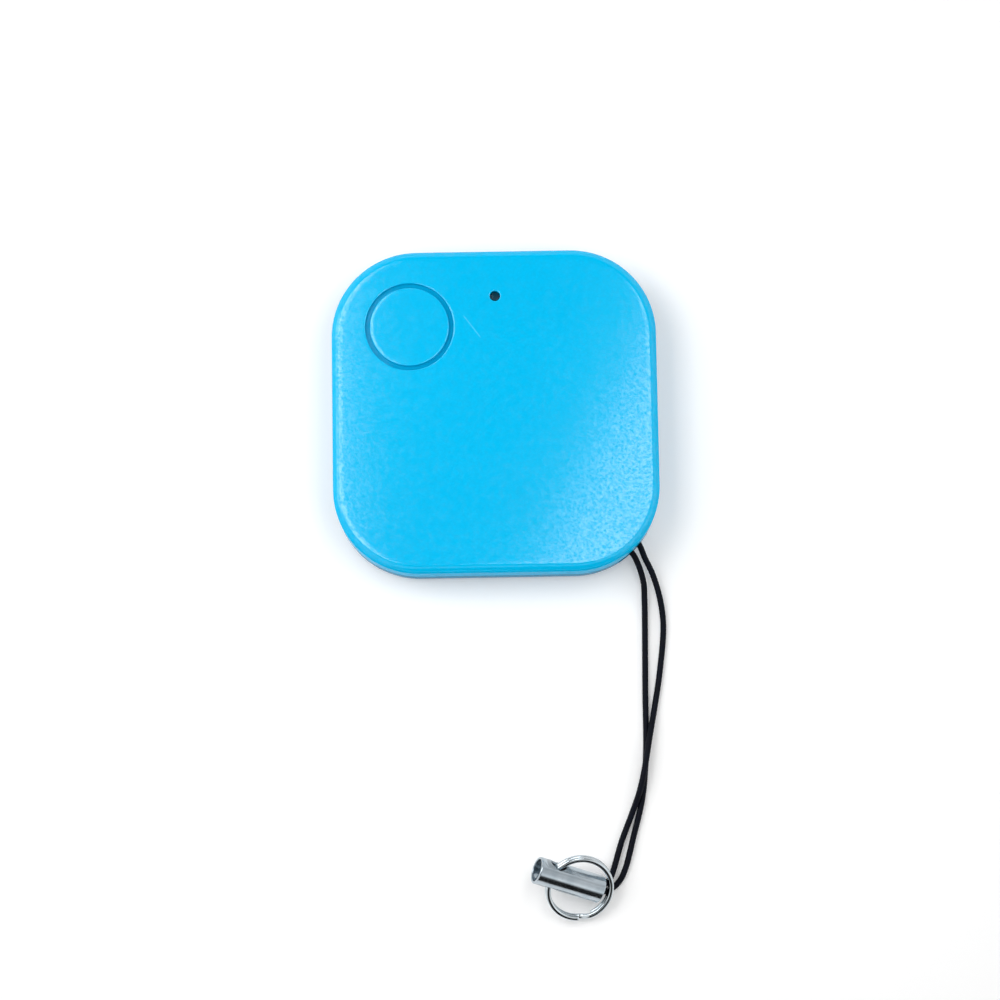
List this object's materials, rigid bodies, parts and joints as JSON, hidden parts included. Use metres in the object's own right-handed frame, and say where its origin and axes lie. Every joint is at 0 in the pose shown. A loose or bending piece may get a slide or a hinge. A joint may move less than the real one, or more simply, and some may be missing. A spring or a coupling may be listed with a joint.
{
  "type": "bluetooth tracker tag",
  "caption": "Rounded-square tracker tag in turquoise plastic, with a round button, a status light hole, and a thin cord loop ending in a steel ferrule and split ring.",
  "frame": {"origin": "centre of the case's footprint, on the plane that its back lies on", "axes": "+Z out of the face with the button, +Y towards the edge nearest the button and the light hole, +X to the right seen from the front; the cord leaves the +X -Y corner"},
  "size_m": [0.0387, 0.0781, 0.0074],
  "materials": {
    "shell_plastic": "fine satin grain, turquoise",
    "board_laminate": "solder mask",
    "chip_resin": "moulded resin",
    "switch_plastic": "moulded",
    "component_tan": "fired ceramic",
    "steel": "satin",
    "polished_steel": "polished",
    "brass": "rolled",
    "copper": "tinned copper",
    "white_ceramic": "fired ceramic",
    "glue": "cured adhesive",
    "clear_plastic": "clear",
    "gasket_plastic": "moulded",
    "cell_filling": "pressed powder",
    "wire_red": "insulation",
    "wire_black": "insulation",
    "cord_fibre": "braided, near black"
  },
  "bodies": {
    "back_shell": {"back_cover": "shell_plastic", "lanyard_cord": "cord_fibre", "cord_ferrule": "steel", "cord_plug": "gasket_plastic"},
    "front_shell": {"front_cover": "shell_plastic", "led_window": "clear_plastic", "circuit_board": "board_laminate", "bluetooth_chip": "chip_resin", "main_crystal": "steel", "clock_crystal": "steel", "matching_inductor": "chip_resin", "antenna_trace": "copper", "switch_base": "switch_plastic", "switch_dome": "steel", "switch_frame": "steel", "led_base": "white_ceramic", "led_lens": "clear_plastic", "battery_can": "steel", "battery_cap": "steel", "battery_core": "cell_filling", "battery_gasket": "gasket_plastic", "negative_contact": "copper", "battery_clip": "steel", "buzzer_adhesive": "glue", "buzzer_disc": "brass", "buzzer_ceramic": "white_ceramic", "buzzer_wire_red": "wire_red", "buzzer_wire_black": "wire_black", "capacitor_1": "component_tan", "capacitor_2": "component_tan", "capacitor_3": "component_tan", "capacitor_4": "component_tan", "capacitor_5": "component_tan", "capacitor_6": "component_tan", "resistor_1": "chip_resin", "resistor_2": "chip_resin", "resistor_3": "chip_resin", "resistor_4": "chip_resin"},
    "button": {"button_cap": "shell_plastic"},
    "switch_plunger": {"switch_plunger": "switch_plastic"},
    "key_ring": {"split_ring": "polished_steel"}
  },
  "joints": [
    {"name": "front_cover_slide", "type": "slide", "parent": "back_shell", "child": "front_shell", "axis": [0, 0, 1], "range_m": [0, 0.01]},
    {"name": "button_press", "type": "slide", "parent": "front_shell", "child": "button", "axis": [0, 0, -1], "range_m": [0, 0.00025], "stiffness_N_per_m": 400, "springref_m": -0.0002},
    {"name": "switch_travel", "type": "slide", "parent": "front_shell", "child": "switch_plunger", "axis": [0, 0, -1], "range_m": [0, 0.00025], "deforming": ["switch_dome"]},
    {"name": "ring_swing", "type": "hinge", "parent": "back_shell", "child": "key_ring", "pos_m": [0.00585, -0.0538, 0.0039], "axis": [-0.5321, -0.7932, -0.2961], "range_deg": [0, 200]}
  ],
  "couplings": [
    {"joint": "switch_travel", "follows": "button_press", "ratio": 1}
  ]
}
